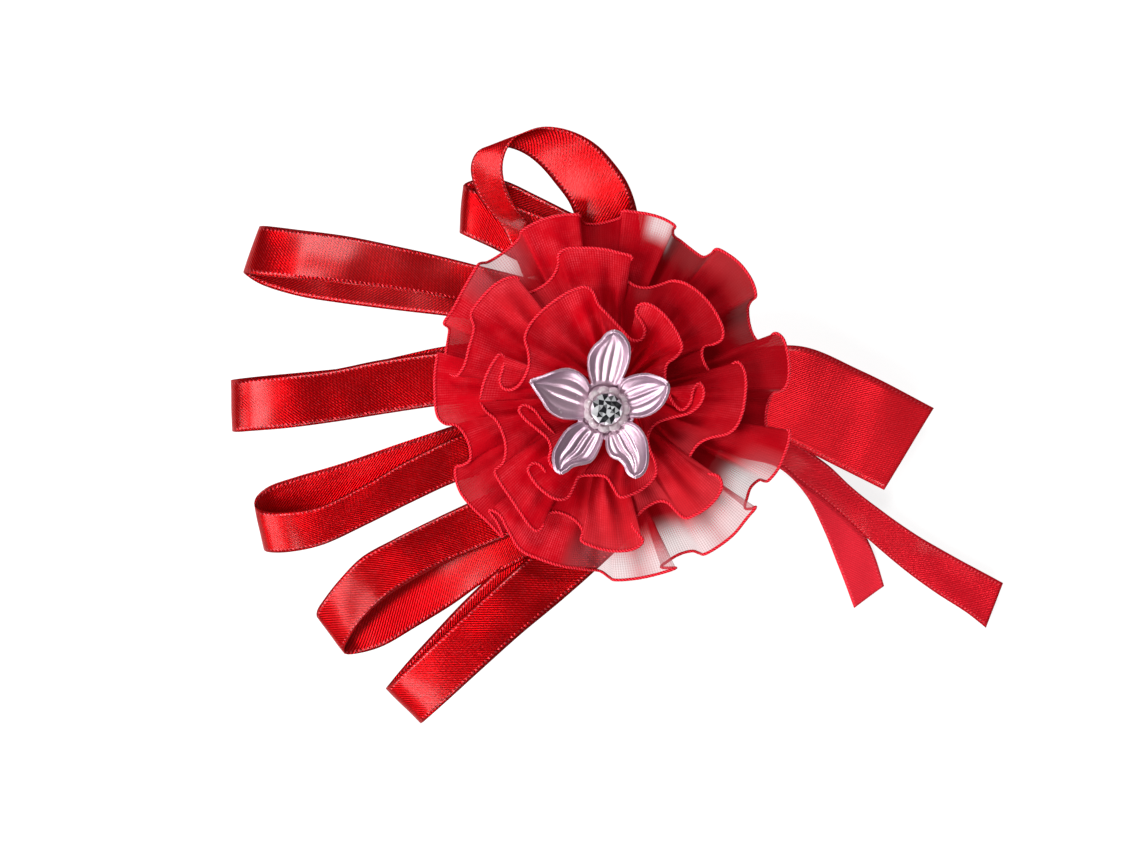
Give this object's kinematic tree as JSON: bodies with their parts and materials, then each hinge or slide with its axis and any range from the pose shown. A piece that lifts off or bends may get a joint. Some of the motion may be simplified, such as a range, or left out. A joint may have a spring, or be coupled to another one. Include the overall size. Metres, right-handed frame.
{
  "type": "wrist corsage",
  "caption": "Wrist corsage: gathered sheer red rosette with a pearl flower and clear stone, satin ribbon loops and tails, on a wide ribbon tied round the wrist.",
  "frame": {"origin": "centre of the backing's underside, the flat face that lies on the wrist", "axes": "+Z out of the rosette's face, +X along the wrist towards the elbow, so the wrist passes through the ribbon along X"},
  "size_m": [0.1721, 0.1457, 0.0834],
  "materials": {
    "satin": "woven satin with a lengthwise sheen",
    "organza": "sheer organza, stitched edge",
    "organza_gathers": "gathered organza, many layers",
    "felt": "matt felt",
    "pearl_plastic": "pearl lustre",
    "clear_cup": "clear, pearly",
    "stone": "cut and polished"
  },
  "bodies": {
    "rosette_and_band": {"closing_felt": "felt", "base_felt": "felt", "wrist_ribbon": "satin", "knot_wrap": "satin", "tie_knot": "satin", "sewn_loops": "satin", "outer_turn": "organza", "middle_turn": "organza", "inner_turn": "organza", "gathered_core": "organza_gathers", "pearl_flower": "pearl_plastic", "stone_cup": "clear_cup", "rhinestone": "stone"},
    "loop_1": {"satin_loop_1": "satin"},
    "loop_2": {"satin_loop_2": "satin"},
    "loop_3": {"satin_loop_3": "satin"},
    "loop_4": {"satin_loop_4": "satin"},
    "loop_5": {"satin_loop_5": "satin"},
    "low_top_loop": {"top_loop": "satin"},
    "curl": {"curl_loop": "satin"},
    "wide_ribbon_end": {"wide_end": "satin"},
    "long_tail": {"long_tail": "satin"},
    "short_tail": {"short_tail": "satin"}
  },
  "joints": [
    {"name": "loop_1_bend", "type": "hinge", "parent": "rosette_and_band", "child": "loop_1", "pos_m": [-0.03368, 0.03651, 0.00483], "axis": [0.4664, 0.8846, 0], "range_deg": [-30, 40], "stiffness_Nm_per_rad": 0.003},
    {"name": "loop_2_bend", "type": "hinge", "parent": "rosette_and_band", "child": "loop_2", "pos_m": [-0.0468, 0.0166, 0.00483], "axis": [0.1599, 0.9871, 0], "range_deg": [-30, 40], "stiffness_Nm_per_rad": 0.003},
    {"name": "loop_3_bend", "type": "hinge", "parent": "rosette_and_band", "child": "loop_3", "pos_m": [-0.04945, -0.00447, 0.00483], "axis": [-0.0419, 0.9991, 0], "range_deg": [-30, 40], "stiffness_Nm_per_rad": 0.003},
    {"name": "loop_4_bend", "type": "hinge", "parent": "rosette_and_band", "child": "loop_4", "pos_m": [-0.04522, -0.02052, 0.00483], "axis": [-0.2706, 0.9627, 0], "range_deg": [-30, 40], "stiffness_Nm_per_rad": 0.003},
    {"name": "loop_5_bend", "type": "hinge", "parent": "rosette_and_band", "child": "loop_5", "pos_m": [-0.03261, -0.03747, 0.00483], "axis": [-0.4462, 0.8949, 0], "range_deg": [-30, 40], "stiffness_Nm_per_rad": 0.003},
    {"name": "top_loop_bend", "type": "hinge", "parent": "rosette_and_band", "child": "low_top_loop", "pos_m": [-0.00335, 0.03864, 0.00405], "axis": [0.5373, 0.8434, 0], "range_deg": [-30, 0], "stiffness_Nm_per_rad": 0.003},
    {"name": "curl_bend", "type": "hinge", "parent": "rosette_and_band", "child": "curl", "pos_m": [0.00207, 0.04356, 0.00523], "axis": [0.9975, -0.0704, 0], "range_deg": [0, 30], "stiffness_Nm_per_rad": 0.003},
    {"name": "wide_end_swing", "type": "hinge", "parent": "rosette_and_band", "child": "wide_ribbon_end", "pos_m": [0.008, 0.001, -0.04765], "axis": [0, 0, 1], "range_deg": [-20, 20]},
    {"name": "long_tail_swing", "type": "hinge", "parent": "rosette_and_band", "child": "long_tail", "pos_m": [0.008, 0.001, -0.04765], "axis": [0, 0, 1], "range_deg": [-20, 20]},
    {"name": "short_tail_swing", "type": "hinge", "parent": "rosette_and_band", "child": "short_tail", "pos_m": [0.008, 0.001, -0.04765], "axis": [0, 0, 1], "range_deg": [-20, 20]}
  ]
}
